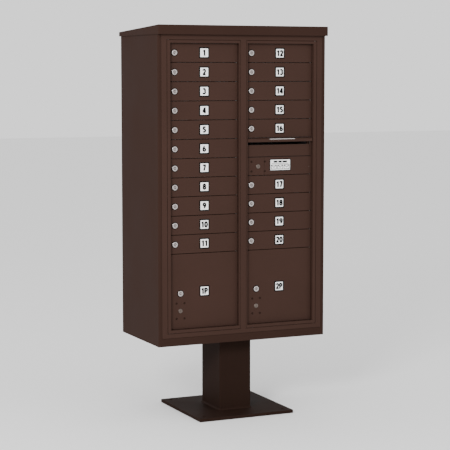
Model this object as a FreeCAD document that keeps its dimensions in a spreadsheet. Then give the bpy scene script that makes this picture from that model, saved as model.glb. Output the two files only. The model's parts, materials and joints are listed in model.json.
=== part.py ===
import FreeCAD, Part
import os
import re
import Sketcher

# Pedestal-mounted cluster mailbox unit: two columns of horizontal mailboxes in a sheet-steel cabinet.
# X runs to the right across the front, Y to the back and Z up. The origin is the middle of the base
# plate's underside. Every length is in millimetres.
DIMENSIONS = {
    # how far one piece of a solid runs into the next, or a cutting tool past the metal
    "overlap": 1,
    # pedestal
    "base_side": 489,
    "base_thick": 15,
    "anchor_spacing": 413,
    "anchor_radius": 9,
    "column_width": 164,
    "column_depth": 215,
    "column_wall": 4,
    "column_corner": 5,
    "head_width": 250,
    "head_depth": 300,
    "head_thick": 6,
    # bolts between the pedestal and the cabinet
    "bolt_across": 200,
    "bolt_along": 236,
    "bolt_radius": 5,
    "bolt_hole_radius": 5.5,
    "bolt_head_radius": 9.2,
    "bolt_head_high": 6.4,
    "bolt_end": 2,
    "nut_bore_radius": 5.05,
    # cabinet shell, floor pan and roof
    "cabinet_bottom": 363,
    "cabinet_high": 1447,
    "cabinet_half": 433,
    "front": -197.5,
    "back": 281.5,
    "sheet": 2.5,
    "flange": 16,
    "return_deep": 20,
    "corner_radius": 5,
    "pan_front_high": 37,
    "pan_thick": 3,
    "roof_side": 4,
    "roof_front": 20,
    "roof_back": 12,
    "roof_front_high": 44,
    "roof_back_high": 21,
    "roof_sheet": 2,
    "roof_return": 30,
    # fixed trim round the two master doors
    "trim_thick": 2,
    "trim_inner": 388.5,
    "trim_low": 58.7,
    "trim_high": 1423.3,
    "web_short": 4,
    "mullion_half": 14.7,
    "mullion_deep": 28,
    "master_axis_across": 379,
    "master_axis_deep": 6,
    "rod_radius": 2.5,
    "bore_radius": 2.55,
    "door_rod_radius": 2,
    "door_bore_radius": 2.05,
    "seam": 1.2,
    "pivot_low": 44,
    "pivot_top": 1437,
    "pivot_cap": 3,
    "pivot_block_in": 7,
    "pivot_block_out": 5,
    "pivot_block_back": 6,
    # master door frames
    "lip_thick": 3,
    "lip_outer": 386.5,
    "lip_inner": 16.3,
    "lip_low": 60.5,
    "lip_high": 1421.5,
    "opening_inner": 21.3,
    "opening_outer": 371,
    "web_deep": 30,
    "web_thick": 3,
    "strike_thick": 2,
    "strike_wide": 8.5,
    "strike_narrow": 1.8,
    "master_knuckle_start": 40,
    "master_knuckle_pitch": 305,
    "master_knuckle_high": 60,
    "master_knuckle_out": 4,
    "master_knuckle_back": 4.5,
    "boss_half": 6,
    "boss_high": 12,
    "boss_cap": 3,
    "rod_above": 9,
    # mailbox modules
    "stack_base": 75,
    "pitch": 88.9,
    "modules": 15,
    "parcel_modules": 4,
    "door_inner": 23.3,
    "door_width": 345.7,
    "door_gap": 3,
    "door_front": 18,
    "door_back": 29,
    "door_sheet": 2,
    "hinge_inset": 5,
    "hinge_deep": 22,
    "knuckle_wide": 9,
    "knuckle_high": 12,
    # locks
    "lock_inset": 26,
    "parcel_lock_inset": 53,
    "parcel_lock_up": 168.5,
    "parcel_arrow_up": 86.5,
    "lock_flange_radius": 13.5,
    "lock_flange_front": 15.2,
    "barrel_radius": 9.5,
    "barrel_seat_radius": 9.6,
    "barrel_back": 28,
    "plug_radius": 6,
    "plug_bore_radius": 6.05,
    "plug_tail": 2,
    "keyway_half_wide": 0.9,
    "keyway_half_high": 3.6,
    "keyway_deep": 4,
    "plug_front": 15,
    "cam_front": 31,
    "cam_back": 33.5,
    "cam_half": 6,
    "cam_reach": 32,
    "long_cam_reach": 62,
    "arrow_radius": 8.5,
    "arrow_bore_radius": 8.55,
    "arrow_front": 16.6,
    "arrow_case_half": 14,
    # outgoing-mail section
    "hood_front": 2,
    "hood_inset": 2,
    "hood_sheet": 2,
    "hood_lip": 12,
    "hood_lean": 6,
    "hood_low": 9.785,
    "slot_high": 9.775,
    "slot_low": 9.63,
    "ledge": 8.97,
    "groove_deep": 1.6,
    "groove_wide": 3,
    "groove_narrow": 1.2,
    "well_inset": 7,
    "lock_plate_edge": 117,
    "arrow_across": 85.7,
    "arrow_module": 8.48,
    "latch_half": 7,
    "latch_front": 31,
    "latch_back": 34,
    "latch_left": 20,
    "latch_right": 112,
    "side_sheet": 2,
    "side_left_inset": 1,
    "side_right_inset": 18,
    "tab_end": 5,
    "tab_high": 60,
    "guide_gap": 0.3,
    "guide_thick": 2,
    "guide_start": 16,
    "guide_run": 30,
    # compartments
    "rack_front": 40,
    "rack_deep": 381,
    "rack_sheet": 1.5,
    "rail_in": 80,
    "rail_out": 310,
    "rail_inset": 20,
    "rail_thick": 2,
}

TENANT_LEFT = [(number, 15 - number) for number in range(1, 12)]
TENANT_RIGHT = [(number, 26 - number) for number in range(12, 17)]
TENANT_RIGHT_LOW = [(number, 24 - number) for number in range(17, 21)]

doc = FreeCAD.newDocument("cluster_mailbox")
sheet = doc.addObject("Spreadsheet::Sheet", "Dims")
for row, (alias, number) in enumerate(DIMENSIONS.items(), start=1):
    sheet.set(f"A{row}", alias)
    sheet.set(f"B{row}", str(number))
    sheet.setAlias(f"B{row}", alias)
doc.recompute()

sub_parts = []


def bound(text):
    """An expression in the sheet's aliases, written here without their prefix."""
    return re.sub(r"[a-z_]{2,}", r"Dims.\g<0>", str(text))


def place(piece, x="0", y="0", z="0"):
    """Binds the piece's place to the sheet."""
    for axis, text in zip("xyz", (x, y, z)):
        piece.setExpression(f"Placement.Base.{axis}", bound(text))
    return piece


def keep(piece, label):
    """Makes the piece a sub-part, whose label names its file."""
    piece.Label = label
    sub_parts.append(piece)
    return piece


def block(name, x, y, z):
    """A box; x, y and z are each a (low, high) pair of expressions."""
    piece = doc.addObject("Part::Box", name)
    for side, (low, high) in zip(("Length", "Width", "Height"), (x, y, z)):
        piece.setExpression(side, bound(f"({high}) - ({low})"))
    return place(piece, x[0], y[0], z[0])


def rod(name, radius, x, y, z, long, axis=None):
    """A cylinder that starts at x, y, z and runs up, or back where axis is "y"."""
    piece = doc.addObject("Part::Cylinder", name)
    piece.setExpression("Radius", bound(radius))
    piece.setExpression("Height", bound(long))
    if axis == "y":
        piece.Placement = FreeCAD.Placement(
            FreeCAD.Vector(), FreeCAD.Rotation(FreeCAD.Vector(1, 0, 0), -90)
        )
    return place(piece, x, y, z)


def fuse(name, pieces):
    """One solid of several pieces that meet."""
    piece = doc.addObject("Part::MultiFuse", name)
    piece.Shapes = pieces
    return piece


def cut(name, base, tools):
    """The base with every tool taken out of it."""
    for count, tool in enumerate(tools, start=1):
        piece = doc.addObject("Part::Cut", f"{name}_{count}")
        piece.Base = base
        piece.Tool = tool
        base = piece
    return base


def group(name, pieces, x="0", y="0", z="0"):
    """Separate solids kept together, moved to x, y, z."""
    piece = doc.addObject("Part::Compound", name)
    piece.Links = pieces
    return place(piece, x, y, z)


def sketch_on(body, role, offset):
    """A sketch on one of the body's own origin planes, moved along that plane's normal."""
    sketch = body.newObject("Sketcher::SketchObject", f"{body.Name}_sketch")
    plane = next(f for f in body.Origin.OriginFeatures if f.Role == role)
    sketch.AttachmentSupport = [(plane, "")]
    sketch.MapMode = "FlatFace"
    sketch.setExpression("AttachmentOffset.Base.z", bound(offset))
    return sketch


def fix_point(sketch, edge, end, across, up):
    """Holds one point of the sketch at two expressions."""
    for kind, text in (("DistanceX", across), ("DistanceY", up)):
        index = sketch.addConstraint(Sketcher.Constraint(kind, -1, 1, edge, end, 1.0))
        sketch.setExpression(f"Constraints[{index}]", bound(text))


def draw_outline(sketch, corners):
    """Straight edges round corners, each an (across, up) pair of expressions."""
    first = sketch.GeometryCount
    count = len(corners)
    rough = [FreeCAD.Vector(10 + 7 * i, 20 + 3 * i * i, 0) for i in range(count)]
    for i in range(count):
        sketch.addGeometry(Part.LineSegment(rough[i], rough[(i + 1) % count]), False)
    for i in range(count):
        following = first + (i + 1) % count
        sketch.addConstraint(Sketcher.Constraint("Coincident", first + i, 2, following, 1))
    for i, (across, up) in enumerate(corners):
        fix_point(sketch, first + i, 1, across, up)


def draw_rectangle(sketch, across, up):
    """A rectangle between (low, high) pairs of expressions."""
    (left, right), (low, high) = across, up
    draw_outline(sketch, [(left, low), (right, low), (right, high), (left, high)])


def draw_circle(sketch, across, up, radius):
    """A circle whose centre and radius are expressions."""
    edge = sketch.addGeometry(
        Part.Circle(FreeCAD.Vector(3, 4, 0), FreeCAD.Vector(0, 0, 1), 2), False
    )
    fix_point(sketch, edge, 3, across, up)
    index = sketch.addConstraint(Sketcher.Constraint("Radius", edge, 2.0))
    sketch.setExpression(f"Constraints[{index}]", bound(radius))


def pad(body, sketch, length, midplane=False):
    """Adds material along the sketch's normal."""
    feature = body.newObject("PartDesign::Pad", f"{body.Name}_pad")
    feature.Profile = sketch
    feature.setExpression("Length", bound(length))
    feature.Midplane = midplane
    return feature


def pocket(body, sketch, length, towards_normal=False):
    """Takes material away against the sketch's normal, or along it; it has to take some."""
    doc.recompute()
    before = body.Shape.Volume
    feature = body.newObject("PartDesign::Pocket", f"{body.Name}_pocket")
    feature.Profile = sketch
    feature.setExpression("Length", bound(length))
    feature.Reversed = towards_normal
    doc.recompute()
    if body.Shape.Volume > before - 1:
        raise RuntimeError(f"{feature.Name} takes nothing away")
    return feature


def round_edges(body, radius, wanted):
    """Rounds the straight edges that the test says yes to, given their middle and direction."""
    doc.recompute()
    base = body.Tip
    names = []
    for index, edge in enumerate(base.Shape.Edges, start=1):
        start, end = edge.firstVertex().Point, edge.lastVertex().Point
        if wanted((start + end) * 0.5, (end - start).normalize()):
            names.append(f"Edge{index}")
    feature = body.newObject("PartDesign::Fillet", f"{body.Name}_fillet")
    feature.Base = (base, names)
    feature.setExpression("Radius", bound(radius))
    return feature


def both(text):
    """A (low, high) pair that reaches as far each side of the middle."""
    return (f"-({text})", text)


def mirrored(pair, side):
    """The pair as it is on the right, or its mirror image on the left."""
    return pair if side == "right" else (f"-({pair[1]})", f"-({pair[0]})")


def level(module):
    """The height of a module's lower edge; module 0 is at the bottom of the stack."""
    return f"cabinet_bottom + stack_base + pitch * {module}"


def behind_front(low, high):
    """A (low, high) pair in Y measured back from the cabinet's front plane."""
    return (f"front + {low}", f"front + {high}")


DOOR_LEFT = {"left": "-door_inner - door_width", "right": "door_inner"}
HINGE_ACROSS = {
    "left": "-door_inner - hinge_inset",
    "right": "door_inner + door_width - hinge_inset",
}


def make_pedestal():
    """Base plate, column and head plate, welded, with the four bolts that hold the cabinet."""
    body = doc.addObject("PartDesign::Body", "pedestal_weldment")
    plate = sketch_on(body, "XY_Plane", "0")
    draw_rectangle(plate, both("base_side / 2"), both("base_side / 2"))
    pad(body, plate, "base_thick")
    column = sketch_on(body, "XY_Plane", "base_thick")
    draw_rectangle(column, both("column_width / 2"), both("column_depth / 2"))
    pad(body, column, "cabinet_bottom - head_thick - base_thick")

    def column_corner(middle, direction):
        low = DIMENSIONS["base_thick"] + 1
        return abs(direction.z) > 0.99 and low < middle.z

    round_edges(body, "column_corner", column_corner)
    head = sketch_on(body, "XY_Plane", "cabinet_bottom - head_thick")
    draw_rectangle(head, both("head_width / 2"), both("head_depth / 2"))
    pad(body, head, "head_thick")
    hollow = sketch_on(body, "XY_Plane", "cabinet_bottom")
    draw_rectangle(
        hollow,
        both("column_width / 2 - column_wall"),
        both("column_depth / 2 - column_wall"),
    )
    pocket(body, hollow, "cabinet_bottom - base_thick")
    anchors = sketch_on(body, "XY_Plane", "base_thick")
    holes = sketch_on(body, "XY_Plane", "cabinet_bottom")
    for x in ("-1", "1"):
        for y in ("-1", "1"):
            draw_circle(
                anchors, f"{x} * anchor_spacing / 2", f"{y} * anchor_spacing / 2", "anchor_radius"
            )
            draw_circle(holes, f"{x} * bolt_across / 2", f"{y} * bolt_along / 2", "bolt_hole_radius")
    pocket(body, anchors, "base_thick")
    pocket(body, holes, "head_thick")

    pieces = [body]
    for i, x in enumerate(("-bolt_across / 2", "bolt_across / 2")):
        for j, y in enumerate(("-bolt_along / 2", "bolt_along / 2")):
            name = f"cabinet_bolt_{2 * i + j + 1}"
            nut_low = "cabinet_bottom - head_thick - bolt_head_high"
            shank = rod(f"{name}_shank", "bolt_radius", x, y, f"{nut_low} - bolt_end",
                        "bolt_end + bolt_head_high + head_thick + pan_thick + overlap")
            head_piece = doc.addObject("Part::Prism", f"{name}_head")
            head_piece.Polygon = 6
            head_piece.setExpression("Circumradius", bound("bolt_head_radius"))
            head_piece.setExpression("Height", bound("bolt_head_high"))
            place(head_piece, x, y, "cabinet_bottom + pan_thick")
            nut_block = doc.addObject("Part::Prism", f"{name}_nut_block")
            nut_block.Polygon = 6
            nut_block.setExpression("Circumradius", bound("bolt_head_radius"))
            nut_block.setExpression("Height", bound("bolt_head_high"))
            place(nut_block, x, y, nut_low)
            nut_bore = rod(f"{name}_nut_bore", "nut_bore_radius", x, y,
                           f"{nut_low} - overlap", "bolt_head_high + 2 * overlap")
            pieces.append(fuse(name, [shank, head_piece]))
            pieces.append(cut(f"{name}_nut", nut_block, [nut_bore]))
    keep(group("pedestal_group", pieces), "pedestal")


def make_shell():
    """The cabinet's sides and back in one bent sheet, with returned flanges at the front."""
    body = doc.addObject("PartDesign::Body", "shell_sheet")
    flange_in = "cabinet_half - flange"
    right_half = [
        (flange_in, "front"),
        ("cabinet_half", "front"),
        ("cabinet_half", "back"),
    ]
    right_inside = [
        ("cabinet_half - sheet", "back - sheet"),
        ("cabinet_half - sheet", "front + sheet"),
        (f"{flange_in} + sheet", "front + sheet"),
        (f"{flange_in} + sheet", "front + return_deep"),
        (flange_in, "front + return_deep"),
    ]
    left_half = [(f"-({x})", y) for x, y in reversed(right_half)]
    left_inside = [(f"-({x})", y) for x, y in reversed(right_inside)]
    outline = sketch_on(body, "XY_Plane", "cabinet_bottom")
    draw_outline(outline, right_half + left_half + left_inside + right_inside)
    pad(body, outline, "cabinet_high")

    def outer_corner(middle, direction):
        return abs(direction.z) > 0.99 and abs(middle.x) > DIMENSIONS["cabinet_half"] - 0.1

    round_edges(body, "corner_radius", outer_corner)
    keep(body, "cabinet_shell")


def make_floor_pan():
    """The cabinet's floor, with an upturned flange at the front."""
    body = doc.addObject("PartDesign::Body", "floor_sheet")
    flange_in = "cabinet_half - flange"
    wall_in = "cabinet_half - sheet"
    floor = sketch_on(body, "XY_Plane", "cabinet_bottom")
    right_side = [
        (flange_in, "front"),
        (flange_in, "front + return_deep"),
        (wall_in, "front + return_deep"),
        (wall_in, "back - sheet"),
    ]
    left_side = [(f"-({x})", y) for x, y in reversed(right_side)]
    draw_outline(floor, right_side + left_side)
    pad(body, floor, "pan_thick")
    profile = sketch_on(body, "YZ_Plane", "0")
    draw_outline(profile, [
        ("front", "cabinet_bottom"),
        ("front + sheet", "cabinet_bottom"),
        ("front + sheet", "cabinet_bottom + pan_front_high - sheet"),
        ("front + return_deep", "cabinet_bottom + pan_front_high - sheet"),
        ("front + return_deep", "cabinet_bottom + pan_front_high"),
        ("front", "cabinet_bottom + pan_front_high"),
    ])
    pad(body, profile, f"2 * ({flange_in})", midplane=True)
    holes = sketch_on(body, "XY_Plane", "cabinet_bottom + pan_thick")
    for x in ("-bolt_across / 2", "bolt_across / 2"):
        for y in ("-bolt_along / 2", "bolt_along / 2"):
            draw_circle(holes, x, y, "bolt_hole_radius")
    pocket(body, holes, "pan_thick")
    keep(body, "cabinet_floor_pan")


def make_roof():
    """A sloped sheet cap that overhangs the cabinet and rests on its upper edge."""
    body = doc.addObject("PartDesign::Body", "roof_sheet_body")
    low = "cabinet_bottom + cabinet_high"
    front_edge = "front - roof_front"
    back_edge = "back + roof_back"
    half = "cabinet_half + roof_side"
    wedge = [
        (front_edge, low),
        (back_edge, low),
        (back_edge, f"{low} + roof_back_high"),
        (front_edge, f"{low} + roof_front_high"),
    ]
    section = sketch_on(body, "YZ_Plane", "0")
    draw_outline(section, [
        (f"{front_edge} + roof_return", low),
        (front_edge, low),
        (front_edge, f"{low} + roof_front_high"),
        (back_edge, f"{low} + roof_back_high"),
        (back_edge, low),
        (f"{back_edge} - roof_return", low),
        (f"{back_edge} - roof_return", f"{low} + roof_sheet"),
        (f"{back_edge} - roof_sheet", f"{low} + roof_sheet"),
        (f"{back_edge} - roof_sheet", f"{low} + roof_back_high - roof_sheet"),
        (f"{front_edge} + roof_sheet", f"{low} + roof_front_high - roof_sheet"),
        (f"{front_edge} + roof_sheet", f"{low} + roof_sheet"),
        (f"{front_edge} + roof_return", f"{low} + roof_sheet"),
    ])
    pad(body, section, f"2 * ({half})", midplane=True)
    for offset in (f"-({half})", f"{half} - roof_sheet"):
        end = sketch_on(body, "YZ_Plane", offset)
        draw_outline(end, wedge)
        pad(body, end, "roof_sheet")
    returns = sketch_on(body, "XY_Plane", low)
    for side in ("left", "right"):
        across = mirrored((f"{half} - roof_return", half), side)
        draw_rectangle(returns, across, (front_edge, back_edge))
    pad(body, returns, "roof_sheet")

    def outer_edge(middle, direction):
        side = DIMENSIONS["cabinet_half"] + DIMENSIONS["roof_side"]
        upright = abs(direction.z) > 0.99 and abs(middle.x) > side - 0.1
        top = DIMENSIONS["cabinet_bottom"] + DIMENSIONS["cabinet_high"] + 15
        along_top = middle.z > top and abs(direction.z) < 0.99
        ends = abs(middle.x) > side - 0.1 or abs(direction.x) > 0.99
        outside = middle.y < DIMENSIONS["front"] - DIMENSIONS["roof_front"] + 0.1
        outside = outside or middle.y > DIMENSIONS["back"] + DIMENSIONS["roof_back"] - 0.1
        return upright or (along_top and ends and (outside or abs(direction.y) > 0.9))

    round_edges(body, "corner_radius / 2", outer_edge)
    keep(body, "roof_cap")


def make_trim():
    """The fixed front frame: a flat ring with a middle mullion and blocks for the hinge rods."""
    body = doc.addObject("PartDesign::Body", "trim_sheet")
    outer = "cabinet_half - flange - seam"
    low = "cabinet_bottom + pan_front_high + seam"
    high = "cabinet_bottom + cabinet_high"
    ring = sketch_on(body, "XZ_Plane", "-front - trim_thick")
    draw_rectangle(ring, both(outer), (low, high))
    for side in ("left", "right"):
        across = mirrored(("mullion_half", "trim_inner"), side)
        draw_rectangle(ring, across, ("cabinet_bottom + trim_low", "cabinet_bottom + trim_high"))
    pad(body, ring, "trim_thick")
    returns = sketch_on(body, "XY_Plane", low)
    for side in ("left", "right"):
        across = mirrored((f"{outer} - trim_thick", outer), side)
        draw_rectangle(returns, across, behind_front("trim_thick", "return_deep"))
    pad(body, returns, f"{high} - ({low})")
    webs = sketch_on(body, "XY_Plane", f"{low} + web_short")
    for side in ("left", "right"):
        across = mirrored(("mullion_half - trim_thick", "mullion_half"), side)
        draw_rectangle(webs, across, behind_front("trim_thick", "mullion_deep"))
    pad(body, webs, f"{high} - ({low}) - 2 * web_short")
    for start, end in (("pivot_low", "trim_low - seam"), ("trim_high + seam", "pivot_top")):
        blocks = sketch_on(body, "XY_Plane", f"cabinet_bottom + {start}")
        for side in ("left", "right"):
            across = mirrored(
                ("master_axis_across - pivot_block_in", "master_axis_across + pivot_block_out"), side
            )
            deep = behind_front("trim_thick", "master_axis_deep + pivot_block_back")
            draw_rectangle(blocks, across, deep)
        pad(body, blocks, f"{end} - ({start})")
    bores = sketch_on(body, "XY_Plane", "cabinet_bottom + pivot_top - pivot_cap")
    for side in ("-1", "1"):
        draw_circle(bores, f"{side} * master_axis_across", "front + master_axis_deep", "bore_radius")
    pocket(body, bores, "pivot_top - pivot_low - 2 * pivot_cap")
    keep(body, "front_trim_frame")


def make_master_hinge_rods():
    """The two upright rods that the master doors swing on."""
    rods = []
    for side in ("-1", "1"):
        rods.append(rod(
            f"master_rod_{len(rods) + 1}", "rod_radius", f"{side} * master_axis_across",
            "front + master_axis_deep", "cabinet_bottom + pivot_low + pivot_cap",
            "pivot_top - pivot_low - 2 * pivot_cap",
        ))
    keep(group("master_rods", rods), "master_hinge_rods")


def make_rack():
    """The compartments: upright walls, shelves and backs, all flat sheets, on four rails."""
    sheets = []
    deep = behind_front("rack_front", "rack_front + rack_deep")
    top = f"{level('modules')} + rack_sheet / 2"
    shelves = {
        "left": [0] + list(range(4, 16)),
        "right": [0] + list(range(4, 9)) + list(range(10, 16)),
    }
    for side in ("left", "right"):
        for wall in (
            ("opening_inner - rack_sheet", "opening_inner"),
            ("opening_outer", "opening_outer + rack_sheet"),
        ):
            name = f"wall_{side}_{len(sheets)}"
            lowest = f"{level(0)} - rack_sheet / 2"
            sheets.append(block(name, mirrored(wall, side), deep, (lowest, top)))
        for module in shelves[side]:
            across = mirrored(("opening_inner", "opening_outer"), side)
            middle = level(module)
            up = (f"{middle} - rack_sheet / 2", f"{middle} + rack_sheet / 2")
            sheets.append(block(f"shelf_{side}_{module}", across, deep, up))
        across = mirrored(("opening_inner - rack_sheet", "opening_outer + rack_sheet"), side)
        rear = behind_front("rack_front + rack_deep", "rack_front + rack_deep + rack_sheet")
        sheets.append(block(f"rear_{side}", across, rear, (f"{level(0)} - rack_sheet / 2", top)))
        for rail in ("rail_in", "rail_out"):
            up = ("cabinet_bottom + pan_thick", f"{level(0)} - rack_sheet / 2")
            along = behind_front("rack_front + rail_inset", "rack_front + rack_deep - rail_inset")
            across = mirrored((rail, f"{rail} + rail_thick"), side)
            sheets.append(block(f"{rail}_{side}", across, along, up))
    keep(group("rack_sheets", sheets), "compartment_rack")


def make_master_frame(side):
    """A master door's frame: a front lip, a web round the opening, strikes and hinge knuckles."""
    lip_up = ("cabinet_bottom + lip_low", "cabinet_bottom + lip_high")
    lip_deep = behind_front("0", "lip_thick")
    web_deep = behind_front("lip_thick", "web_deep")
    strike_deep = behind_front("web_deep - strike_thick", "web_deep")
    low, high = level(0), level("modules")
    full = ("lip_inner", "lip_outer")
    inner_web, outer_web = "opening_inner - web_thick", "opening_outer + web_thick"
    pieces = [
        ("lip_low", full, lip_deep, (lip_up[0], low)),
        ("lip_high", full, lip_deep, (high, lip_up[1])),
        ("lip_in", ("lip_inner", "opening_inner"), lip_deep, lip_up),
        ("lip_out", ("opening_outer", "lip_outer"), lip_deep, lip_up),
        ("web_in", (inner_web, "opening_inner"), web_deep, (low, high)),
        ("web_out", ("opening_outer", outer_web), web_deep, (low, high)),
        ("web_low", (inner_web, outer_web), web_deep, (f"{low} - web_thick", low)),
        ("web_high", (inner_web, outer_web), web_deep, (high, f"{high} + web_thick")),
        ("strike_in", (f"{inner_web} - strike_narrow", inner_web), strike_deep, (low, high)),
        ("strike_out", (outer_web, f"{outer_web} + strike_wide"), strike_deep, (low, high)),
    ]
    for count in range(5):
        start = f"master_knuckle_start + {count} * master_knuckle_pitch"
        bottom = f"cabinet_bottom + lip_low + {start}"
        pieces.append((
            f"knuckle_{count}", (outer_web, "master_axis_across + master_knuckle_out"),
            behind_front("lip_thick", "master_axis_deep + master_knuckle_back"),
            (bottom, f"{bottom} + master_knuckle_high"),
        ))
    solids = [
        block(f"{side}_{name}", mirrored(across, side), deep, up)
        for name, across, deep, up in pieces
    ]
    hinge = HINGE_ACROSS[side]
    boss_across = (f"{hinge} - boss_half", f"{hinge} + boss_half")
    boss_deep = behind_front("door_front", "web_deep")
    solids.append(block(f"{side}_boss", boss_across, boss_deep, (f"{low} - boss_high", low)))
    outer = "" if side == "right" else "-"
    rod_low = f"{low} - boss_high + boss_cap"
    rod_long = "pitch * modules + boss_high - boss_cap + rod_above"
    tools = [
        rod(f"{side}_master_bore", "bore_radius", f"{outer}master_axis_across",
            "front + master_axis_deep", "cabinet_bottom + lip_low", "lip_high - lip_low"),
        rod(f"{side}_door_bore", "door_bore_radius", hinge, "front + hinge_deep", rod_low,
            f"{rod_long} + overlap"),
    ]
    keep(cut(f"{side}_frame", fuse(f"{side}_frame_whole", solids), tools), f"{side}_master_frame")
    door_rod = rod(f"{side}_rod", "door_rod_radius", hinge, "front + hinge_deep", rod_low, rod_long)
    keep(door_rod, f"{side}_door_hinge_rod")


def make_door_pan(name, modules, holes):
    """A bent door pan with two hinge knuckles; x runs from its left edge, y from the front plane."""
    body = doc.addObject("PartDesign::Body", name)
    top = f"pitch * {modules} - door_gap / 2"
    bottom = "door_gap / 2"
    outside = sketch_on(body, "XZ_Plane", "-door_back")
    draw_rectangle(outside, ("0", "door_width"), (bottom, top))
    pad(body, outside, "door_back - door_front")
    inside = sketch_on(body, "XZ_Plane", "-door_back")
    draw_rectangle(
        inside,
        ("door_sheet", "door_width - door_sheet"),
        (f"{bottom} + door_sheet", f"{top} - door_sheet"),
    )
    pocket(body, inside, "door_back - door_front - door_sheet", towards_normal=True)
    across = ("door_width - knuckle_wide", "door_width")
    deep = ("door_front + door_sheet / 2", "door_back")
    for base in (bottom, f"{top} - knuckle_high"):
        knuckle = sketch_on(body, "XY_Plane", base)
        draw_rectangle(knuckle, across, deep)
        pad(body, knuckle, "knuckle_high")
    bore = sketch_on(body, "XY_Plane", f"pitch * {modules}")
    draw_circle(bore, "door_width - hinge_inset", "hinge_deep", "door_bore_radius")
    pocket(body, bore, f"pitch * {modules}")
    seats = sketch_on(body, "XZ_Plane", "-door_front")
    for across_lock, up_lock, radius in holes:
        draw_circle(seats, across_lock, up_lock, radius)
    pocket(body, seats, "door_sheet")
    return body


def make_lock_barrel(name, across, up):
    """The fixed barrel of a cam lock, with its round face flange."""
    face = rod(f"{name}_face", "lock_flange_radius", across, "lock_flange_front", up,
               "door_front - lock_flange_front", "y")
    barrel = rod(f"{name}_tube", "barrel_radius", across, "door_front", up,
                 "barrel_back - door_front", "y")
    bore = rod(f"{name}_bore", "plug_bore_radius", across, "plug_front", up,
               "barrel_back", "y")
    return cut(name, fuse(f"{name}_whole", [face, barrel]), [bore])


def make_arrow_case(name, across, up):
    """The square case of a postal lock, bored for its plug."""
    case = block(
        f"{name}_block",
        (f"{across} - arrow_case_half", f"{across} + arrow_case_half"),
        ("door_front + door_sheet", "barrel_back"),
        (f"{up} - arrow_case_half", f"{up} + arrow_case_half"),
    )
    bore = rod(f"{name}_bore", "arrow_bore_radius", across, "door_front", up, "barrel_back", "y")
    return cut(name, case, [bore])


def make_plug(name, radius, front_face, reach):
    """A lock's turning plug and its cam, on the axis x = z = 0, with the cam pointing down."""
    plug = rod(f"{name}_plug", radius, "0", front_face, "0", f"cam_back - {front_face}", "y")
    cam = block(f"{name}_cam", both("cam_half"), ("cam_front", "cam_back"),
                (f"-{reach}", "cam_half"))
    keyway = block(f"{name}_keyway", both("keyway_half_wide"),
                   (f"{front_face} - overlap", f"{front_face} + keyway_deep"),
                   both("keyway_half_high"))
    return cut(name, fuse(f"{name}_whole", [plug, cam]), [keyway])


def make_doors():
    """Twenty tenant doors and two parcel doors with their locks."""
    middle = "pitch / 2"
    pan = make_door_pan("tenant_pan", 1, [("lock_inset", middle, "barrel_seat_radius")])
    barrel = make_lock_barrel("tenant_barrel", "lock_inset", middle)
    plug = make_plug("tenant_plug", "plug_radius", "plug_front", "cam_reach")
    for side, doors in (
        ("left", TENANT_LEFT), ("right", TENANT_RIGHT), ("right", TENANT_RIGHT_LOW),
    ):
        for number, module in doors:
            door = group(f"door_group_{number}", [pan, barrel], DOOR_LEFT[side], "front",
                         level(module))
            keep(door, f"door_{number:02d}")
            lock = group(f"lock_group_{number}", [plug], f"{DOOR_LEFT[side]} + lock_inset",
                         "front", f"{level(module)} + {middle}")
            keep(lock, f"lock_{number:02d}")
    parcel_pan = make_door_pan("parcel_pan", "parcel_modules", [
        ("parcel_lock_inset", "parcel_lock_up", "barrel_seat_radius"),
        ("parcel_lock_inset", "parcel_arrow_up", "arrow_bore_radius"),
    ])
    parcel_barrel = make_lock_barrel("parcel_barrel", "parcel_lock_inset", "parcel_lock_up")
    parcel_case = make_arrow_case("parcel_case", "parcel_lock_inset", "parcel_arrow_up")
    parcel_plug = make_plug("parcel_plug", "plug_radius", "plug_front", "long_cam_reach")
    arrow_plug = make_plug("arrow_plug", "arrow_radius", "arrow_front", "long_cam_reach")
    for number, side in ((1, "left"), (2, "right")):
        door = group(f"parcel_group_{number}", [parcel_pan, parcel_barrel, parcel_case],
                     DOOR_LEFT[side], "front", level(0))
        keep(door, f"parcel_door_{number}")
        across = f"{DOOR_LEFT[side]} + parcel_lock_inset"
        lock = group(f"parcel_lock_group_{number}", [parcel_plug], across, "front",
                     f"{level(0)} + parcel_lock_up")
        keep(lock, f"parcel_lock_{number}")
        arrow = group(f"parcel_arrow_group_{number}", [arrow_plug], across, "front",
                      f"{level(0)} + parcel_arrow_up")
        keep(arrow, f"parcel_arrow_lock_{number}")


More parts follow.
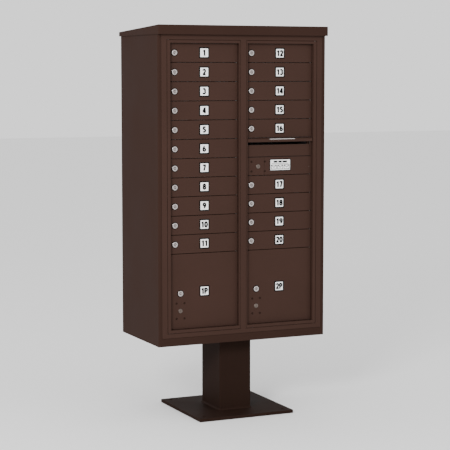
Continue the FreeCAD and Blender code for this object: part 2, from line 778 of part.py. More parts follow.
def make_outgoing_panel():
    """The fixed panel with the hooded letter slot, the master lock's seat and the latch guide."""
    left, right = "door_inner", "door_inner + door_width"
    face = behind_front("door_front", "door_front + door_sheet")
    low, high = f"{level(8)} + door_gap / 2", f"{level(10)} - door_gap / 2"
    slot_low, slot_high = level("slot_low"), level("slot_high")
    plate = block("outgoing_plate", (left, right), face, (low, high))
    slot = block("outgoing_slot", (f"{left} + well_inset", f"{right} - well_inset"),
                 behind_front("door_front - overlap", "door_front + door_sheet + overlap"),
                 (slot_low, slot_high))
    arrow_up = level("arrow_module")
    hood = doc.addObject("PartDesign::Body", "hood_body")
    profile = sketch_on(hood, "YZ_Plane", f"{left} + hood_inset")
    hood_high, hood_low = f"{level(10)} - hood_inset", level("hood_low")
    outside = [
        ("front + door_front", hood_high),
        ("front + hood_front + hood_lean", hood_high),
        ("front + hood_front", f"{hood_low} + hood_lip"),
        ("front + hood_front", hood_low),
    ]
    draw_outline(profile, outside + [
        ("front + hood_front + hood_sheet", hood_low),
        ("front + hood_front + hood_sheet", f"{hood_low} + hood_lip"),
        ("front + hood_front + hood_lean + hood_sheet", f"{hood_high} - hood_sheet"),
        ("front + door_front", f"{hood_high} - hood_sheet"),
    ])
    pad(hood, profile, "door_width - 2 * hood_inset")
    for offset in (f"{left} + hood_inset", f"{right} - hood_inset - hood_sheet"):
        cheek = sketch_on(hood, "YZ_Plane", offset)
        draw_outline(cheek, outside + [("front + door_front", hood_low)])
        pad(hood, cheek, "hood_sheet")
    tabs = []
    side_deep = behind_front("door_front + door_sheet", "web_deep")
    tab_deep = behind_front("web_deep - side_sheet", "web_deep")
    left_side = (f"{left} + side_left_inset", f"{left} + side_left_inset + side_sheet")
    right_side = (f"{right} - side_right_inset - side_sheet", f"{right} - side_right_inset")
    for name, web, tab in (
        ("left", left_side, ("opening_inner", left_side[1])),
        ("right", right_side, (right_side[0], "opening_outer")),
    ):
        low_tab = (f"{low} + tab_end", f"{low} + tab_end + tab_high")
        high_tab = (f"{high} - tab_end - tab_high", f"{high} - tab_end")
        tabs.append(block(f"outgoing_side_{name}", web, side_deep, (low, high)))
        tabs.append(block(f"outgoing_low_tab_{name}", tab, tab_deep, low_tab))
        tabs.append(block(f"outgoing_high_tab_{name}", tab, tab_deep, high_tab))
    guide_across = ("arrow_across + guide_start", "latch_right + guide_run")
    guide_back = "latch_back + guide_gap + guide_thick"
    reach = "latch_half + guide_gap + guide_thick"
    guides = []
    for name, start, end in (
        ("low", f"-({reach})", "-latch_half - guide_gap"),
        ("high", "latch_half + guide_gap", reach),
    ):
        guides.append(block(
            f"latch_guide_{name}", guide_across,
            behind_front("door_front + door_sheet", guide_back),
            (f"{arrow_up} + {start}", f"{arrow_up} + {end}"),
        ))
    guides.append(block(
        "latch_guide_rear", guide_across, behind_front("latch_back + guide_gap", guide_back),
        (f"{arrow_up} - ({reach})", f"{arrow_up} + {reach}"),
    ))
    seat = rod("arrow_seat", "arrow_bore_radius", "arrow_across", "front", arrow_up,
               "barrel_back", "y")
    case = block(
        "master_case",
        ("arrow_across - arrow_case_half", "arrow_across + arrow_case_half"),
        behind_front("door_front + door_sheet", "barrel_back"),
        (f"{arrow_up} - arrow_case_half", f"{arrow_up} + arrow_case_half"),
    )
    grooves = []
    for name, across, up in (
        ("ledge", (f"{left} - overlap", f"{right} + overlap"),
         (level("ledge"), f"{level('ledge')} + groove_wide")),
        ("lock_plate", ("lock_plate_edge", "lock_plate_edge + groove_narrow"),
         (f"{low} - overlap", level("ledge"))),
        ("well_left", (f"{left} + well_inset", f"{left} + well_inset + groove_narrow"),
         (level("ledge"), slot_high)),
        ("well_right", (f"{right} - well_inset - groove_narrow", f"{right} - well_inset"),
         (level("ledge"), slot_high)),
    ):
        deep = behind_front("door_front - overlap", "door_front + groove_deep")
        grooves.append(block(f"{name}_groove", across, deep, up))
    whole = fuse("outgoing_whole", [plate, hood, case] + tabs + guides)
    panel = cut("outgoing_panel", whole, [slot, seat] + grooves)
    keep(panel, "outgoing_mail_panel")

    plug = rod("master_plug", "arrow_radius", "arrow_across", "front + arrow_front", arrow_up,
               "barrel_back + plug_tail - arrow_front", "y")
    keyway = block("master_keyway",
                   ("arrow_across - keyway_half_wide", "arrow_across + keyway_half_wide"),
                   behind_front("arrow_front - overlap", "arrow_front + keyway_deep"),
                   (f"{arrow_up} - keyway_half_high", f"{arrow_up} + keyway_half_high"))
    keep(cut("master_lock", plug, [keyway]), "master_arrow_lock")
    latch = block("latch_bar", ("latch_left", "latch_right"),
                  behind_front("latch_front", "latch_back"),
                  (f"{arrow_up} - latch_half", f"{arrow_up} + latch_half"))
    keep(latch, "master_latch_bar")


make_pedestal()
make_shell()
make_floor_pan()
make_roof()
make_trim()
make_master_hinge_rods()
make_rack()
make_master_frame("left")
make_master_frame("right")
make_outgoing_panel()
make_doors()
doc.recompute()

for made in doc.Objects:
    if "Invalid" in made.State or "Error" in made.State:
        raise RuntimeError(f"{made.Name} ({made.Label}) is {made.State}")
for piece in sub_parts:
    if piece.Shape.isNull() or not piece.Shape.isValid():
        raise RuntimeError(f"{piece.Label} has a null or invalid shape")

os.makedirs("parts", exist_ok=True)
for piece in sub_parts:
    piece.Shape.exportStep(f"parts/{piece.Label}.step")
    print(piece.Label, len(piece.Shape.Solids), round(piece.Shape.Volume / 1000, 1))
print(len(sub_parts), "sub-parts")
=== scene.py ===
import json
import math

import bmesh
import bpy
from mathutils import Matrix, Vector


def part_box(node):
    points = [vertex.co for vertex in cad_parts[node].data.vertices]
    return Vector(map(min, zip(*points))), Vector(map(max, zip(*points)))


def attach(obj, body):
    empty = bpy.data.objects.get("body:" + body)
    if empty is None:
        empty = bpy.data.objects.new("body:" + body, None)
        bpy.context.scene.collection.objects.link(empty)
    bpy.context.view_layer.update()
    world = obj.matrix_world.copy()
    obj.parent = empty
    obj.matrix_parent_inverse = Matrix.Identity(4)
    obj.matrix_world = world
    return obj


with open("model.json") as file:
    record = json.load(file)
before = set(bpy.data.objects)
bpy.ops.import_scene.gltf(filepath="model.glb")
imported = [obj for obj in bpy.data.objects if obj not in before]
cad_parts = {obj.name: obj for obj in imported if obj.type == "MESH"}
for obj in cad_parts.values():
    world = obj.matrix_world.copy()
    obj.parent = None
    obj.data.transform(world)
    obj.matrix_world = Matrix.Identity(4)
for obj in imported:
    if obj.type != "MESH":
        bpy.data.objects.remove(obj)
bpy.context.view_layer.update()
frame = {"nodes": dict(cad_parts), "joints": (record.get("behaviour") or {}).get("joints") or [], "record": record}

# The looks of a pedestal-mounted cluster mailbox unit. Lengths are in metres, +X right, +Y back,
# +Z up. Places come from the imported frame's own boxes and joints.
scene = bpy.context.scene
joints = {joint["name"]: joint for joint in frame["joints"]}

TENANT_NUMBERS = range(1, 21)
PARCEL_NUMBERS = (1, 2)
LABEL_SIDE = 0.0395
# Width of the holder's black rim round each label: partly a real rim, partly painted shadow.
LABEL_RIM_AND_SHADOW = 0.0056
LABEL_THICK = 0.0007
LABEL_SHIFT = 0.0025
PARCEL_LABEL_DROP = 0.0030
DIGIT_HEIGHT = 0.0275
DIGIT_THICK = 0.0003
STROKE = 0.29
CELL_GAP = 0.10
RIVET_RADIUS = 0.0052
RIVET_HIGH = 0.0020
RIVET_STEPS = 6
MODULE = 0.0889
DOOR_RECESS = 0.018
BASE_PLATE_TOP = 0.015
COLUMN_WIDTH = 0.164
COLUMN_DEEP = 0.215
WELD_BEAD = 0.007
WELD_STEPS = 4
FLOOR_SIDE = 30.0
FLOOR_DROP = 0.0005
WORLD_STRENGTH = 1.30
CAMERA_PLACE = (-3.0243, -6.6256, 1.6344)
CAMERA_YAW = 24.495
CAMERA_PITCH = 5.76
CAMERA_LENS = 120.68


# ---------------------------------------------------------------- materials

def node_links(material):
    """The material's nodes, links and surface shader."""
    material.use_nodes = True
    tree = material.node_tree
    return tree.nodes, tree.links, tree.nodes["Principled BSDF"]


def noise(nodes, links, scale, detail=4.0, roughness=0.55, stretch=None):
    """A noise texture in the object's own coordinates, drawn out along an axis where asked."""
    place = nodes.new("ShaderNodeTexCoord")
    texture = nodes.new("ShaderNodeTexNoise")
    texture.inputs["Scale"].default_value = scale
    texture.inputs["Detail"].default_value = detail
    texture.inputs["Roughness"].default_value = roughness
    if stretch:
        mapping = nodes.new("ShaderNodeMapping")
        mapping.inputs["Scale"].default_value = stretch
        links.new(place.outputs["Object"], mapping.inputs["Vector"])
        links.new(mapping.outputs["Vector"], texture.inputs["Vector"])
    else:
        links.new(place.outputs["Object"], texture.inputs["Vector"])
    return texture.outputs["Fac"]


def ramp(nodes, links, source, low, high, start=0.3, end=0.7):
    """Maps a 0 to 1 signal onto a run between two colours."""
    made = nodes.new("ShaderNodeValToRGB")
    made.color_ramp.elements[0].position = start
    made.color_ramp.elements[1].position = end
    made.color_ramp.elements[0].color = (*low, 1)
    made.color_ramp.elements[1].color = (*high, 1)
    links.new(source, made.inputs["Fac"])
    return made.outputs["Color"]


def spread(nodes, links, source, low, high):
    """Maps a 0.3 to 0.7 signal onto a run of numbers."""
    made = nodes.new("ShaderNodeMapRange")
    made.inputs["From Min"].default_value = 0.3
    made.inputs["From Max"].default_value = 0.7
    made.inputs["To Min"].default_value = low
    made.inputs["To Max"].default_value = high
    links.new(source, made.inputs["Value"])
    return made.outputs["Result"]


def mix(nodes, links, amount, first, second):
    """A colour between two colours."""
    made = nodes.new("ShaderNodeMix")
    made.data_type = "RGBA"
    for socket, value in ((made.inputs["Factor"], amount), (made.inputs["A"], first),
                          (made.inputs["B"], second)):
        links.new(value, socket)
    return made.outputs["Result"]


def add_bump(nodes, links, shader, height, distance, strength, normal=None):
    """Small relief on the surface."""
    bump = nodes.new("ShaderNodeBump")
    bump.inputs["Distance"].default_value = distance
    bump.inputs["Strength"].default_value = strength
    links.new(height, bump.inputs["Height"])
    if normal:
        links.new(normal, bump.inputs["Normal"])
    links.new(bump.outputs["Normal"], shader.inputs["Normal"])


def edge_mask(nodes, links, radius):
    """One along outer and inner edges, where a rounded normal leaves the flat one."""
    rounded = nodes.new("ShaderNodeBevel")
    rounded.samples = 4
    rounded.inputs["Radius"].default_value = radius
    flat = nodes.new("ShaderNodeNewGeometry")
    dot = nodes.new("ShaderNodeVectorMath")
    dot.operation = "DOT_PRODUCT"
    links.new(rounded.outputs["Normal"], dot.inputs[0])
    links.new(flat.outputs["True Normal"], dot.inputs[1])
    mask = nodes.new("ShaderNodeMapRange")
    mask.inputs["From Min"].default_value = 0.97
    mask.inputs["From Max"].default_value = 0.80
    links.new(dot.outputs["Value"], mask.inputs["Value"])
    return mask.outputs["Result"], rounded.outputs["Normal"]


def powder_coat(name, dark, light, wear_and_highlight_colour, gloss=0.05):
    """Baked powder coat: orange-peel relief, slight mottling, dust and lighter edges, partly wear and partly
    painted highlight.
    """
    material = bpy.data.materials.new(name)
    nodes, links, shader = node_links(material)
    broad = noise(nodes, links, 3.2, 3.0)
    grain = noise(nodes, links, 640.0, 2.0, 0.6)
    peel = noise(nodes, links, 260.0, 3.0, 0.5)
    body = ramp(nodes, links, broad, dark, light)
    speck = ramp(nodes, links, grain, tuple(0.84 * c for c in light), light, 0.35, 0.62)
    half = nodes.new("ShaderNodeMix")
    half.data_type = "RGBA"
    half.inputs["Factor"].default_value = 0.45
    links.new(body, half.inputs["A"])
    links.new(speck, half.inputs["B"])
    mask, rounded = edge_mask(nodes, links, 0.0007)
    scuffs = noise(nodes, links, 34.0, 5.0, 0.65)
    wear_and_highlight = nodes.new("ShaderNodeMath")
    wear_and_highlight.operation = "MULTIPLY"
    links.new(mask, wear_and_highlight.inputs[0])
    links.new(spread(nodes, links, scuffs, 0.05, 0.75), wear_and_highlight.inputs[1])
    # Patchy lighter colour along the edges: partly wear, partly painted highlight.
    edge = nodes.new("ShaderNodeRGB")
    edge.outputs[0].default_value = (*wear_and_highlight_colour, 1)
    colour = mix(nodes, links, wear_and_highlight.outputs["Value"], half.outputs["Result"], edge.outputs[0])
    links.new(colour, shader.inputs["Base Color"])
    links.new(spread(nodes, links, broad, 0.56, 0.68), shader.inputs["Roughness"])
    shader.inputs["Specular IOR Level"].default_value = gloss
    add_bump(nodes, links, shader, peel, 0.00025, 0.32, rounded)
    return material


def metal(name, dark, light, rough, scale, stretch, relief):
    """Bare metal with a drawn or rolled grain."""
    material = bpy.data.materials.new(name)
    nodes, links, shader = node_links(material)
    grain = noise(nodes, links, scale, 4.0, 0.6, stretch)
    cloud = noise(nodes, links, 22.0, 4.0, 0.6)
    links.new(ramp(nodes, links, cloud, dark, light), shader.inputs["Base Color"])
    shader.inputs["Metallic"].default_value = 1.0
    links.new(spread(nodes, links, grain, *rough), shader.inputs["Roughness"])
    add_bump(nodes, links, shader, grain, relief, 0.4)
    return material


def plain(name, dark, light, rough, scale, relief, gloss=0.5):
    """Vinyl, rubber or ink: two close tones, uneven gloss and a fine grain."""
    material = bpy.data.materials.new(name)
    nodes, links, shader = node_links(material)
    grain = noise(nodes, links, scale, 3.0)
    cloud = noise(nodes, links, 45.0, 4.0)
    links.new(ramp(nodes, links, cloud, dark, light), shader.inputs["Base Color"])
    links.new(spread(nodes, links, cloud, *rough), shader.inputs["Roughness"])
    shader.inputs["Specular IOR Level"].default_value = gloss
    add_bump(nodes, links, shader, grain, relief, 0.3)
    return material


cabinet_coat = powder_coat("bronze_coat", (0.0320, 0.0163, 0.0121), (0.0390, 0.0200, 0.0152),
                           (0.075, 0.046, 0.034))
# The outer sheets' coat is the bronze coat made darker: painted shade for the cabinet's sides, roof and floor pan.
shaded_shell_coat = powder_coat("shaded_shell_coat", (0.0240, 0.0122, 0.0090), (0.0295, 0.0150, 0.0113),
                         (0.065, 0.040, 0.030), 0.03)
# The pedestal's coat is a darker copy of the bronze coat: painted shade for the pedestal standing under the
# cabinet. The rivet heads and the column weld share it.
pedestal_coat = powder_coat("pedestal_coat", (0.0155, 0.0082, 0.0060), (0.0200, 0.0106, 0.0078),
                            (0.040, 0.026, 0.020), 0.02)
rolled = metal("sheet_aluminium", (0.24, 0.245, 0.25), (0.31, 0.315, 0.32), (0.66, 0.82), 420.0,
               (0.04, 1.0, 1.0), 0.0001)
# The zinc steel is darker than bare zinc: painted shade where the hinge rods show in the door gaps.
drawn = metal("zinc_steel", (0.15, 0.148, 0.142), (0.22, 0.217, 0.21), (0.50, 0.66), 900.0,
              (1.0, 1.0, 0.03), 0.00008)
nickel = metal("lock_nickel", (0.40, 0.365, 0.355), (0.50, 0.46, 0.45), (0.24, 0.38), 1500.0,
               None, 0.00004)
arrow_steel = metal("arrow_steel", (0.105, 0.083, 0.072), (0.160, 0.130, 0.115), (0.32, 0.48), 1100.0,
                    None, 0.00006)
dark_steel = metal("dark_steel", (0.070, 0.062, 0.060), (0.105, 0.095, 0.092), (0.35, 0.50), 1100.0,
                   None, 0.00006)
vinyl = plain("label_vinyl", (0.84, 0.84, 0.835), (0.90, 0.90, 0.895), (0.30, 0.42), 700.0, 0.00004)
ink = plain("label_ink", (0.0025, 0.0025, 0.0028), (0.0045, 0.0045, 0.0050), (0.45, 0.58), 900.0,
            0.00003, 0.08)
holder = plain("label_holder", (0.0025, 0.0022, 0.0020), (0.0048, 0.0042, 0.0040), (0.5, 0.65), 500.0,
               0.00008, 0.08)
# Near-black rubber, also used as painted shade: the lock's shadow ring and the dark seam line on the outgoing
# panel.
rubber = plain("black_rubber_and_shade", (0.0030, 0.0026, 0.0024), (0.0055, 0.0048, 0.0044), (0.65, 0.8), 300.0,
               0.0001, 0.06)
grey_ink = plain("rule_ink", (0.035, 0.034, 0.034), (0.065, 0.064, 0.064), (0.4, 0.5), 900.0, 0.00003, 0.1)

SLOTS = {
    "bronze_coat": cabinet_coat,
    "pedestal_coat": pedestal_coat,
    "arrow_steel": arrow_steel,
    "sheet_aluminium": rolled,
    "zinc_steel": drawn,
    "lock_nickel": nickel,
}
SHELL_NODES = ("cabinet_shell", "cabinet_floor_pan", "roof_cap")


def finish_cad_nodes():
    """Gives each CAD node the material of its slot; the outer sheets get a darker copy of the bronze coat, painted
    shade.
    """
    slot_of = {part["node"]: part["material_slot"] for part in frame["record"]["subparts"]}
    for name, piece in frame["nodes"].items():
        material = shaded_shell_coat if name in SHELL_NODES else SLOTS[slot_of[name]]
        if not piece.material_slots:
            piece.data.materials.append(material)
        for slot in piece.material_slots:
            slot.material = material


# ---------------------------------------------------------------- pieces

def add_piece(name, mesh_data, material, body, smooth=30):
    """Makes an object of a bmesh, gives it its finish and lets it ride on a body."""
    mesh = bpy.data.meshes.new(name)
    bmesh.ops.recalc_face_normals(mesh_data, faces=mesh_data.faces)
    mesh_data.to_mesh(mesh)
    mesh_data.free()
    mesh.materials.append(material)
    piece = bpy.data.objects.new(name, mesh)
    scene.collection.objects.link(piece)
    for polygon in mesh.polygons:
        polygon.use_smooth = True
    mesh.set_sharp_from_angle(angle=math.radians(smooth))
    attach(piece, body)
    return piece


def rounded_outline(width, high, radius, steps=5):
    """Corner-rounded rectangle round the origin, as (across, up) pairs."""
    points = []
    for turn, (sx, sz) in enumerate(((1, 1), (-1, 1), (-1, -1), (1, -1))):
        centre = (sx * (width / 2 - radius), sz * (high / 2 - radius))
        for step in range(steps + 1):
            angle = math.pi / 2 * (turn + step / steps)
            points.append((centre[0] + radius * math.cos(angle),
                           centre[1] + radius * math.sin(angle)))
    return points


def stack_loops(made, loops, close_first=True, close_last=True):
    """Joins loops of points, each as long as the last, with faces."""
    rings = [[made.verts.new(point) for point in loop] for loop in loops]
    count = len(rings[0])
    for first, second in zip(rings, rings[1:]):
        for i in range(count):
            j = (i + 1) % count
            made.faces.new((first[i], first[j], second[j], second[i]))
    if close_first:
        made.faces.new(rings[0])
    if close_last:
        made.faces.new(rings[-1])


def plate_into(made, centre, width, high, radius, back, front, edge=0.00015):
    """A thin upright plate facing -Y with a softened front edge; back and front are Y values."""
    x, z = centre
    loops = []
    for y, inset in ((back, 0), (front + edge, 0), (front, edge)):
        outline = rounded_outline(width - 2 * inset, high - 2 * inset, radius)
        loops.append([(x + px, y, z + pz) for px, pz in outline])
    stack_loops(made, loops)


def revolve_into(made, centre, profile, segments=40, closed=True):
    """Turns (radius, y) pairs round an axis along Y through centre (x, z)."""
    x, z = centre
    loops = []
    for radius, y in profile:
        loops.append([
            (x + radius * math.cos(2 * math.pi * i / segments), y,
             z + radius * math.sin(2 * math.pi * i / segments))
            for i in range(segments)
        ])
    rings = [[made.verts.new(point) for point in loop] for loop in loops]
    pairs = list(zip(rings, rings[1:]))
    if closed:
        pairs.append((rings[-1], rings[0]))
    for first, second in pairs:
        for i in range(segments):
            j = (i + 1) % segments
            made.faces.new((first[i], first[j], second[j], second[i]))
    if not closed:
        made.faces.new(rings[0])
        made.faces.new(rings[-1])


def door_middle(node):
    """A door's middle, as (x, z), from its CAD box."""
    low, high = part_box(node)
    return ((low.x + high.x) / 2, (low.z + high.z) / 2)


def arc(centre, radii, start, end, steps=14):
    """Points along part of an ellipse, between two angles in degrees."""
    angles = [math.radians(start + (end - start) * i / steps) for i in range(steps + 1)]
    return [(centre[0] + radii[0] * math.cos(a), centre[1] + radii[1] * math.sin(a))
            for a in angles]


def turned(strokes):
    """The strokes turned half a turn in their cell."""
    return [[(0.6 - x, 1 - y) for x, y in stroke] for stroke in strokes]


SIX = [arc((0.3, 0.31), (0.2, 0.21), 0, 360, 24), arc((0.48, 0.36), (0.38, 0.53), 180, 105)]
STROKES = {
    "0": [arc((0.3, 0.5), (0.2, 0.4), 0, 360, 28)],
    "1": [[(0.32, 0), (0.32, 1)], [(0.08, 0.72), (0.30, 0.88)]],
    "2": [arc((0.3, 0.68), (0.2, 0.22), 170, -35) + [(0.14, 0.12)], [(0.03, 0.1), (0.57, 0.1)]],
    "3": [arc((0.27, 0.7), (0.2, 0.2), 150, -80), arc((0.27, 0.32), (0.22, 0.22), 80, -150)],
    "4": [[(0.42, 0), (0.42, 1)], [(0.38, 0.95), (0.08, 0.34)], [(0.0, 0.3), (0.6, 0.3)]],
    "5": [[(0.1, 0.9), (0.54, 0.9)], [(0.15, 0.9), (0.12, 0.48)],
          arc((0.29, 0.32), (0.21, 0.22), 125, -150)],
    "6": SIX,
    "7": [[(0.03, 0.9), (0.57, 0.9)], [(0.48, 0.88), (0.22, 0)]],
    "8": [arc((0.3, 0.7), (0.17, 0.2), 0, 360, 24), arc((0.3, 0.31), (0.2, 0.21), 0, 360, 24)],
    "9": turned(SIX),
    "P": [[(0.1, 0), (0.1, 1)],
          [(0.1, 0.9)] + arc((0.3, 0.68), (0.19, 0.22), 90, -90) + [(0.1, 0.46)]],
}


def stroke_into(made, points, place, back, front):
    """A thick line along the points; place turns a cell point into (x, z)."""
    closed = math.dist(points[0], points[-1]) < 1e-6
    if closed:
        points = points[:-1]
    count = len(points)
    left, right = [], []
    for i, (x, y) in enumerate(points):
        before = points[i - 1] if closed or i else points[i]
        after = points[(i + 1) % count] if closed or i < count - 1 else points[i]
        along = Vector((after[0] - before[0], after[1] - before[1])).normalized()
        across = Vector((-along.y, along.x)) * STROKE / 2
        left.append(place(x + across.x, y + across.y))
        right.append(place(x - across.x, y - across.y))
    if closed:
        loops = [[(x, level, z) for x, z in side]
                 for side, level in ((left, back), (left, front), (right, front), (right, back))]
        stack_loops(made, loops + [loops[0]], False, False)
        return
    outline = left + right[::-1]
    stack_loops(made, [[(x, level, z) for x, z in outline] for level in (back, front)])


def write_into(made, text, centre, face):
    """Raised numerals, centred on a label's face."""
    cells = [0.5 if character == "1" else 0.6 for character in text]
    wide = (sum(cells) + CELL_GAP * (len(text) - 1)) * DIGIT_HEIGHT
    squeeze = min(1.0, LABEL_SIDE * 0.86 / wide)
    start = -wide / 2 * squeeze
    for character, cell in zip(text, cells):

        def place(x, y, left=start):
            return (centre[0] + left + x * DIGIT_HEIGHT * squeeze,
                    centre[1] + (y - 0.5) * DIGIT_HEIGHT)

        for stroke in STROKES[character]:
            stroke_into(made, stroke, place, face, face - DIGIT_THICK)
        start += (cell + CELL_GAP) * DIGIT_HEIGHT * squeeze


def add_number(name, text, centre, face, body):
    """A number plate: dark holder, white insert and raised numerals; the holder's black rim round the insert is
    partly a real rim and partly painted shadow.
    """
    made = bmesh.new()
    outer = LABEL_SIDE + 2 * LABEL_RIM_AND_SHADOW
    plate_into(made, centre, outer, outer, 0.003, face, face - LABEL_THICK)
    add_piece(f"{name}_holder", made, holder, body)
    made = bmesh.new()
    front = face - LABEL_THICK - 0.0002
    plate_into(made, centre, LABEL_SIDE, LABEL_SIDE, 0.0018, face - LABEL_THICK, front)
    add_piece(f"{name}_insert", made, vinyl, body)

    made = bmesh.new()
    write_into(made, text, centre, front)
    add_piece(f"{name}_numeral", made, ink, body)


def add_lock_bezel(name, centre, face, body, plug_body):
    """The cam lock's dished collar, the black rubber ring behind it, widened as painted shadow of the lock, and
    the dark ring on its plug.
    """
    made = bmesh.new()
    revolve_into(made, centre, [
        (0.0068, face - 0.0026),
        (0.0074, face - 0.0031),
        (0.0112, face - 0.0035),
        (0.0128, face - 0.0031),
        (0.0137, face - 0.0019),
        (0.0138, face - 0.0001),
        (0.0068, face - 0.0001),
    ])
    add_piece(f"{name}_bezel", made, nickel, body, 50)
    # A black rubber ring wider than the collar: partly a real gasket, partly the lock's painted shadow.
    made = bmesh.new()
    revolve_into(made, centre, [
        (0.0139, face),
        (0.0139, face - 0.0012),
        (0.0158, face - 0.0012),
        (0.0166, face - 0.0005),
        (0.0166, face),
    ])
    add_piece(f"{name}_gasket", made, rubber, body, 50)
    made = bmesh.new()
    revolve_into(made, centre, [
        (0.0040, face - 0.00305),
        (0.0042, face - 0.00325),
        (0.0056, face - 0.00325),
        (0.0059, face - 0.00305),
    ])
    add_piece(f"{name}_plug_ring", made, dark_steel, plug_body, 50)


def add_arrow_ring(name, centre, face, body):
    """A raised ring round a postal lock's plug."""
    made = bmesh.new()
    revolve_into(made, centre, [
        (0.0087, face),
        (0.0087, face - 0.0010),
        (0.0096, face - 0.0014),
        (0.0104, face - 0.0010),
        (0.0108, face),
    ])
    add_piece(f"{name}_ring", made, arrow_steel, body, 50)


def add_rivets(name, centre, face, across, up, body):
    """Four domed rivet heads at the corners of a rectangle, in the darker pedestal coat as painted shade round the
    heads.
    """
    made = bmesh.new()
    for sx in (-1, 1):
        for sz in (-1, 1):
            middle = (centre[0] + sx * across, centre[1] + sz * up)
            profile = [
                (RIVET_RADIUS * math.cos(math.pi / 2 * i / RIVET_STEPS) + 0.00002,
                 face - RIVET_HIGH * math.sin(math.pi / 2 * i / RIVET_STEPS))
                for i in range(RIVET_STEPS + 1)
            ]
            revolve_into(made, middle, profile, 20, closed=False)
    add_piece(f"{name}_rivets", made, pedestal_coat, body, 60)


# ---------------------------------------------------------------- the object

front_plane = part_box("left_master_frame")[0].y
door_plane = front_plane + DOOR_RECESS


def joint_place(name):
    """A joint's (x, z)."""
    x, _, z = joints[name]["pos_m"]
    return (x, z)


def build_doors():
    """Number plates, lock bezels, postal lock rings and rivets, each riding on its own door."""
    for number in TENANT_NUMBERS:
        tag = f"{number:02d}"
        body = f"box_{tag}"
        x, z = door_middle(f"door_{tag}")
        add_number(f"plate_{tag}", str(number), (x + LABEL_SHIFT, z), door_plane, body)
        add_lock_bezel(f"lock_{tag}", joint_place(f"lock_{tag}_turn"), door_plane, body,
                       f"plug_{tag}")
    for number in PARCEL_NUMBERS:
        body = f"parcel_{number}"
        x, z = door_middle(f"parcel_door_{number}")
        add_number(f"plate_{number}P", f"{number}P", (x + LABEL_SHIFT, z - PARCEL_LABEL_DROP),
                   door_plane, body)
        add_lock_bezel(f"parcel_lock_{number}", joint_place(f"parcel_lock_{number}_turn"),
                       door_plane, body, f"parcel_lock_{number}_plug")
        arrow = joint_place(f"parcel_arrow_lock_{number}_turn")
        add_arrow_ring(f"parcel_arrow_{number}", arrow, door_plane, body)
        add_rivets(f"parcel_arrow_{number}", arrow, door_plane, 0.0200, 0.0360, body)


def build_outgoing_panel():
    """The master lock's ring and rivets, the notice, the hood's strip and the panel's seams."""
    body = "right_master"
    panel_low, panel_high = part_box("outgoing_mail_panel")
    arrow = joint_place("master_lock_turn")
    add_arrow_ring("master_arrow", arrow, door_plane, body)
    add_rivets("master_arrow", arrow, door_plane, 0.0350, 0.0230, body)
    base = panel_low.z - 0.0015 - 8 * MODULE

    notice = (0.2025, base + 8.54 * MODULE)
    border, sheet = 0.0006, 0.0002
    made = bmesh.new()
    plate_into(made, notice, 0.112, 0.0565, 0.003, door_plane, door_plane - border)
    add_piece("notice_border", made, holder, body)
    made = bmesh.new()
    face = door_plane - border
    plate_into(made, notice, 0.104, 0.049, 0.0015, face, face - sheet)
    add_piece("notice_plate", made, vinyl, body)
    face -= sheet
    made = bmesh.new()
    for across, width in ((-0.025, 0.020), (-0.001, 0.018), (0.024, 0.024)):
        middle = (notice[0] + across, notice[1] + 0.0155)
        plate_into(made, middle, width, 0.0088, 0.0006, face, face - 0.0001, 0.00002)
    add_piece("notice_heading", made, ink, body)
    made = bmesh.new()
    for across in (-0.034, 0.0, 0.034):
        build_envelope(made, (notice[0] + across, notice[1] - 0.010), 0.027, 0.019, face)
    add_piece("notice_envelopes", made, grey_ink, body)
    made = bmesh.new()
    plate_into(made, (notice[0], notice[1] + 0.0062), 0.090, 0.0024, 0.0004, face,
               face - 0.0001, 0.00002)
    add_piece("notice_rule", made, grey_ink, body)

    strip_front = panel_low.y
    strip = (0.2060, base + 9.905 * MODULE)
    made = bmesh.new()
    plate_into(made, strip, 0.133, 0.0072, 0.001, strip_front + 0.0062, strip_front + 0.0010)
    add_piece("hood_strip", made, vinyl, body)

    # A near-black strip set into the seam between the slot plate and the lock panel: painted shade in the gap.
    made = bmesh.new()
    left, right = panel_low.x + 0.0035, panel_high.x - 0.0035
    middle = (left + right) / 2
    ledge = base + 8.97 * MODULE + 0.0015
    bottom, top = door_plane + 0.0016, door_plane + 0.0008
    plate_into(made, (middle, ledge), right - left, 0.0028, 0.0003, bottom, top, 0.00005)
    add_piece("ledge_seam_shade", made, rubber, body)
    made = bmesh.new()
    plate_into(made, (0.357, base + 8.41 * MODULE), 0.0034, 0.0034, 0.0016, door_plane,
               door_plane - 0.0006)
    add_piece("panel_pin", made, arrow_steel, body)


def build_envelope(made, centre, width, high, face):
    """An envelope in outline: four sides and the flap's two folds."""
    line = 0.0030
    x, z = centre
    half, rise = width / 2, high / 2
    corners = [(-half, -rise), (half, -rise), (half, rise), (-half, rise)]
    runs = list(zip(corners, corners[1:] + corners[:1]))
    runs += [((-half, rise), (0, -0.1 * high)), ((0, -0.1 * high), (half, rise))]
    for (ax, az), (bx, bz) in runs:
        along = Vector((bx - ax, bz - az)).normalized()
        side = Vector((-along.y, along.x)) * line / 2
        reach = along * line / 2
        a = Vector((ax, az)) - reach
        b = Vector((bx, bz)) + reach
        outline = [a - side, b - side, b + side, a + side]
        loops = [[(x + p.x, y, z + p.y) for p in outline] for y in (face, face - 0.0001)]
        stack_loops(made, loops)


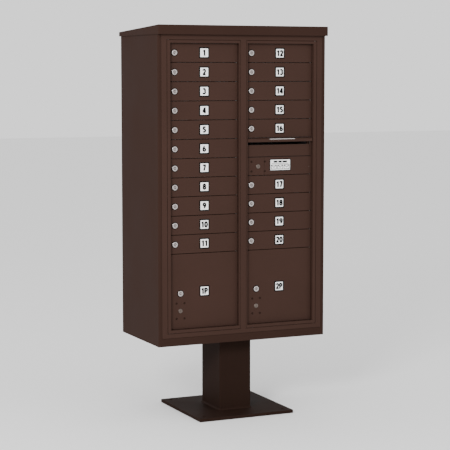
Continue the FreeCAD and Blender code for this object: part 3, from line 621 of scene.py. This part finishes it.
def build_weld():
    """The fillet weld where the column meets the base plate."""
    made = bmesh.new()
    loops = []
    for step in range(WELD_STEPS + 1):
        angle = math.pi / 2 * step / WELD_STEPS
        out = WELD_BEAD * (1 - math.sin(angle)) * 0.5 + WELD_BEAD * 0.5 * math.cos(angle)
        up = WELD_BEAD * math.sin(angle) * 0.5 + WELD_BEAD * 0.5 * (1 - math.cos(angle))
        outline = rounded_outline(COLUMN_WIDTH + 2 * out, COLUMN_DEEP + 2 * out, 0.005 + out, 6)
        loops.append([(px, py, BASE_PLATE_TOP + up) for px, py in outline])
    inner = rounded_outline(COLUMN_WIDTH - 0.001, COLUMN_DEEP - 0.001, 0.0045, 6)
    loops.append([(px, py, BASE_PLATE_TOP + WELD_BEAD) for px, py in inner])
    loops.append([(px, py, BASE_PLATE_TOP + 0.0001) for px, py in inner])
    rings = [[made.verts.new(point) for point in loop] for loop in loops]
    count = len(inner)
    for first, second in zip(rings, rings[1:] + rings[:1]):
        for i in range(count):
            j = (i + 1) % count
            made.faces.new((first[i], first[j], second[j], second[i]))
    add_piece("column_weld", made, pedestal_coat, "cabinet", 60)


# ---------------------------------------------------------------- stage

def build_stage():
    """The pale floor and the even white surround."""
    floor_material = plain("floor_paint", (0.85, 0.85, 0.85), (0.87, 0.87, 0.87), (0.8, 0.9), 60.0,
                           0.0002)
    made = bmesh.new()
    for sx, sy in ((-1, -1), (1, -1), (1, 1), (-1, 1)):
        made.verts.new((sx * FLOOR_SIDE, sy * FLOOR_SIDE, -FLOOR_DROP))
    made.faces.new(made.verts)
    mesh = bpy.data.meshes.new("studio_floor")
    made.to_mesh(mesh)
    made.free()
    mesh.materials.append(floor_material)
    floor = bpy.data.objects.new("studio_floor", mesh)
    scene.collection.objects.link(floor)
    world = bpy.data.worlds.new("studio_world")
    world.use_nodes = True
    world.node_tree.nodes["Background"].inputs["Color"].default_value = (1, 1, 1, 1)
    world.node_tree.nodes["Background"].inputs["Strength"].default_value = WORLD_STRENGTH
    scene.world = world


def add_light(name, place, target, size, power):
    """A rectangular soft light aimed at a point."""
    light = bpy.data.lights.new(name, "AREA")
    light.shape = "RECTANGLE"
    light.size = size[0]
    light.size_y = size[1]
    light.energy = power
    made = bpy.data.objects.new(name, light)
    made.location = place
    made.rotation_euler = (Vector(target) - Vector(place)).to_track_quat("-Z", "Y").to_euler()
    scene.collection.objects.link(made)


def build_camera():
    """The camera, turned to the right by the yaw and down by the pitch."""
    camera = bpy.data.cameras.new("camera")
    camera.sensor_width = 36
    camera.lens = CAMERA_LENS
    camera.clip_start = 0.1
    camera.clip_end = 100
    made = bpy.data.objects.new("camera", camera)
    made.location = CAMERA_PLACE
    yaw, pitch = math.radians(CAMERA_YAW), math.radians(CAMERA_PITCH)
    made.rotation_euler = (math.pi / 2 - pitch, 0, -yaw)
    scene.collection.objects.link(made)
    scene.camera = made


finish_cad_nodes()
build_doors()
build_outgoing_panel()
build_weld()
build_stage()
add_light("key", (-4.2, -4.6, 3.4), (0, 0, 1.1), (1.6, 1.6), 380)
add_light("fill", (4.0, -3.5, 2.0), (0, 0, 1.0), (2.5, 3.0), 30)
build_camera()
